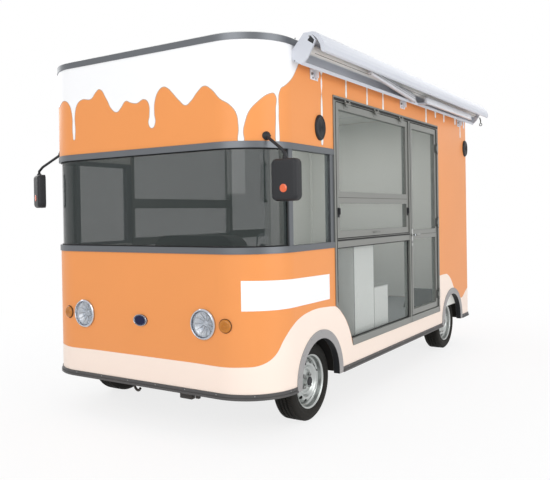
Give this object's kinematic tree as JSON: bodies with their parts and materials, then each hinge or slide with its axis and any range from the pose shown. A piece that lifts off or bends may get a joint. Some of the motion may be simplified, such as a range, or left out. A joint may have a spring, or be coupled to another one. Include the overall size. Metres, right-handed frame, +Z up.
{
  "type": "electric four-wheeled vending vehicle",
  "caption": "Box-bodied electric vending van with a rounded nose, bent windscreen, glazed service side with top-hinged hatch and entry door, roller awning, and steering front wheels",
  "frame": {"origin": "on the ground, mid-way between the sides and the ends of the whole vehicle", "axes": "+Z up, -Y towards the nose, +X towards the vehicle's left side, which has the hatch, the door and the awning"},
  "size_m": [2.3233, 3.9123, 2.42],
  "materials": {
    "body_paint": "orange paint with cream and white film",
    "roof_paint": "white paint",
    "trim_metal": "satin anodised extrusion",
    "arch_trim": "moulded light grey",
    "clear_glass": "clear tempered glass",
    "lamp_lens": "clear moulded lens",
    "lamp_chrome": "plated bowl and rim",
    "lamp_amber": "amber lens",
    "lamp_red": "red lens",
    "badge_blue": "plain dark blue oval with a bright rim",
    "black_plastic": "grained black moulding",
    "housing_black": "black underseal",
    "chassis_black": "black chassis paint",
    "spring_steel": "dark rolled spring steel",
    "cast_steel": "cast and machined",
    "motor_metal": "cast housing",
    "battery_case": "dark grey paint",
    "tyre": "black rubber",
    "rim_silver": "silver paint on steel",
    "awning_white": "white powder coat",
    "awning_fabric": "woven white cover",
    "dash_grey": "grained grey moulding",
    "seat_vinyl": "black vinyl",
    "cabinet_white": "white powder coat",
    "counter_steel": "brushed stainless sheet",
    "floor_grey": "grey sheet floor"
  },
  "bodies": {
    "body": {"front_shell_lower": "body_paint", "front_shell_upper": "body_paint", "side_panels": "body_paint", "rear_wall": "body_paint", "roof_panel": "roof_paint", "roof_trim": "trim_metal", "screen_frame": "trim_metal", "sill_trim": "trim_metal", "arch_trims": "arch_trim", "windscreen": "clear_glass", "side_frame_left": "trim_metal", "side_frame_right": "trim_metal", "fixed_glass": "clear_glass", "wheel_housings": "housing_black", "floor_deck": "floor_grey", "chassis_rails": "chassis_black", "chassis_members": "chassis_black", "tow_eyes": "chassis_black", "leaf_springs": "spring_steel", "battery_box": "battery_case", "front_axle": "cast_steel", "rear_axle": "cast_steel", "drive_motor": "motor_metal", "headlamp_bezels": "lamp_chrome", "headlamp_lenses": "lamp_lens", "indicator_lamps": "lamp_amber", "front_badge": "badge_blue", "tail_lamps": "lamp_red", "speakers": "black_plastic", "mirror_arms": "black_plastic", "mirror_heads": "black_plastic", "awning_case": "awning_white", "awning_front_bar": "awning_white", "awning_roller": "awning_fabric", "awning_arms": "awning_white", "dashboard": "dash_grey", "seat_base": "chassis_black", "driver_seat": "seat_vinyl", "cabinets": "cabinet_white", "service_counter": "counter_steel"},
    "hatch": {"hatch_frame": "trim_metal", "hatch_glass": "clear_glass"},
    "door": {"door_frame": "trim_metal", "door_glass": "clear_glass"},
    "steering_wheel": {"steering_wheel": "black_plastic"},
    "knuckle_left": {"knuckle_left": "cast_steel"},
    "knuckle_right": {"knuckle_right": "cast_steel"},
    "tie_rod": {"tie_rod": "cast_steel"},
    "wheel_front_left": {"tyre_front_left": "tyre", "rim_front_left": "rim_silver"},
    "wheel_front_right": {"tyre_front_right": "tyre", "rim_front_right": "rim_silver"},
    "wheel_rear_left": {"tyre_rear_left": "tyre", "rim_rear_left": "rim_silver"},
    "wheel_rear_right": {"tyre_rear_right": "tyre", "rim_rear_right": "rim_silver"}
  },
  "joints": [
    {"name": "hatch_hinge", "type": "hinge", "parent": "body", "child": "hatch", "pos_m": [0.964, -0.386, 2.096], "axis": [0, -1, 0], "range_deg": [0, 85]},
    {"name": "door_hinge", "type": "hinge", "parent": "body", "child": "door", "pos_m": [0.964, 0.971, 1.28], "axis": [0, 0, 1], "range_deg": [0, 100]},
    {"name": "steering_wheel_turn", "type": "hinge", "parent": "body", "child": "steering_wheel", "pos_m": [0.33, -1.45, 0.985], "axis": [0, 0.5, 0.866], "range_deg": [-320, 320]},
    {"name": "knuckle_left_steer", "type": "hinge", "parent": "body", "child": "knuckle_left", "pos_m": [0.74, -1.3, 0.252], "axis": [0, 0, 1], "range_deg": [-32, 32]},
    {"name": "knuckle_right_steer", "type": "hinge", "parent": "body", "child": "knuckle_right", "pos_m": [-0.74, -1.3, 0.252], "axis": [0, 0, 1], "range_deg": [-32, 32]},
    {"name": "tie_rod_pivot", "type": "hinge", "parent": "knuckle_left", "child": "tie_rod", "pos_m": [0.74, -1.19, 0.187], "axis": [0, 0, 1], "range_deg": [-32, 32]},
    {"name": "wheel_front_left_spin", "type": "hinge", "parent": "knuckle_left", "child": "wheel_front_left", "pos_m": [0.807, -1.3, 0.252], "axis": [1, 0, 0], "continuous": true},
    {"name": "wheel_front_right_spin", "type": "hinge", "parent": "knuckle_right", "child": "wheel_front_right", "pos_m": [-0.807, -1.3, 0.252], "axis": [1, 0, 0], "continuous": true},
    {"name": "wheel_rear_left_spin", "type": "hinge", "parent": "body", "child": "wheel_rear_left", "pos_m": [0.807, 1.38, 0.252], "axis": [1, 0, 0], "continuous": true},
    {"name": "wheel_rear_right_spin", "type": "hinge", "parent": "body", "child": "wheel_rear_right", "pos_m": [-0.807, 1.38, 0.252], "axis": [1, 0, 0], "continuous": true}
  ],
  "couplings": [
    {"joint": "knuckle_left_steer", "follows": "steering_wheel_turn", "ratio": 0.1},
    {"joint": "knuckle_right_steer", "follows": "steering_wheel_turn", "ratio": 0.1},
    {"joint": "tie_rod_pivot", "follows": "steering_wheel_turn", "ratio": -0.1}
  ]
}
